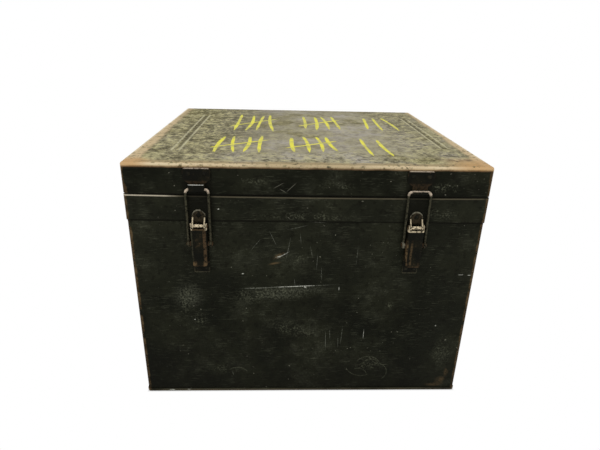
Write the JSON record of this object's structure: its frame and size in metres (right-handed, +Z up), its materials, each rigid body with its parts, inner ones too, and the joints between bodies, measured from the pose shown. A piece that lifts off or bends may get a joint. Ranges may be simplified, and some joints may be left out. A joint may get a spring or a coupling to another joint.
{
  "type": "deed box",
  "caption": "Sheet steel deed box with an overlapping hinged lid, a strap round its mouth, toggle latches with wire bails on the front and drop handles on its sides.",
  "frame": {"origin": "middle of the flat underside", "axes": "+Z up, +X to the right along the front seen from the front, -Y out of the front face that carries the latches"},
  "size_m": [0.4276, 0.4046, 0.31],
  "materials": {
    "body_paint": "worn olive-black enamel, semi-matt",
    "lid_paint": "worn olive-black enamel, dusty, rust along the edges",
    "fittings": "worn paint over pressed steel",
    "bare_steel": "dull bare wire with light rust",
    "rivets": "worn paint, rubbed bare on the heads"
  },
  "bodies": {
    "body": {"body_shell": "body_paint", "rim_liner": "body_paint", "top_band": "body_paint", "bottom_pan": "body_paint", "seam_rivets": "rivets", "hinge_body_rivets": "rivets", "latch_base_rivets": "rivets", "handle_rivets": "rivets", "hinge_body_leaf_left": "fittings", "hinge_pin_left": "bare_steel", "latch_base_left": "fittings", "lever_pin_left": "bare_steel", "handle_straps_left": "fittings", "hinge_body_leaf_right": "fittings", "hinge_pin_right": "bare_steel", "latch_base_right": "fittings", "lever_pin_right": "bare_steel", "handle_straps_right": "fittings"},
    "lid": {"lid_shell": "lid_paint", "hinge_lid_rivets": "rivets", "latch_hook_rivets": "rivets", "hinge_lid_leaf_left": "fittings", "latch_hook_left": "fittings", "hinge_lid_leaf_right": "fittings", "latch_hook_right": "fittings"},
    "lever_left": {"latch_lever_left": "fittings", "bail_pin_left": "bare_steel"},
    "bail_left": {"latch_bail_left": "bare_steel"},
    "handle_left": {"handle_left": "fittings"},
    "lever_right": {"latch_lever_right": "fittings", "bail_pin_right": "bare_steel"},
    "bail_right": {"latch_bail_right": "bare_steel"},
    "handle_right": {"handle_right": "fittings"}
  },
  "joints": [
    {"name": "lid_hinge", "type": "hinge", "parent": "body", "child": "lid", "pos_m": [0, 0.19449, 0.2745], "axis": [-1, 0, 0], "range_deg": [0, 105]},
    {"name": "latch_lever_left_hinge", "type": "hinge", "parent": "body", "child": "lever_left", "pos_m": [-0.123, -0.19592, 0.2395], "axis": [-1, 0, 0], "range_deg": [0, 110]},
    {"name": "latch_bail_left_hinge", "type": "hinge", "parent": "lever_left", "child": "bail_left", "pos_m": [-0.123, -0.19502, 0.2175], "axis": [-1, 0, 0], "range_deg": [-220, 0]},
    {"name": "handle_left_hinge", "type": "hinge", "parent": "body", "child": "handle_left", "pos_m": [-0.20862, 0, 0.2055], "axis": [0, 1, 0], "range_deg": [0, 180]},
    {"name": "latch_lever_right_hinge", "type": "hinge", "parent": "body", "child": "lever_right", "pos_m": [0.123, -0.19592, 0.2395], "axis": [-1, 0, 0], "range_deg": [0, 110]},
    {"name": "latch_bail_right_hinge", "type": "hinge", "parent": "lever_right", "child": "bail_right", "pos_m": [0.123, -0.19502, 0.2175], "axis": [-1, 0, 0], "range_deg": [-220, 0]},
    {"name": "handle_right_hinge", "type": "hinge", "parent": "body", "child": "handle_right", "pos_m": [0.20862, 0, 0.2055], "axis": [0, -1, 0], "range_deg": [0, 180]}
  ],
  "couplings": [
    {"joint": "latch_bail_left_hinge", "follows": "latch_lever_left_hinge", "ratio": -2},
    {"joint": "latch_bail_right_hinge", "follows": "latch_lever_right_hinge", "ratio": -2}
  ]
}
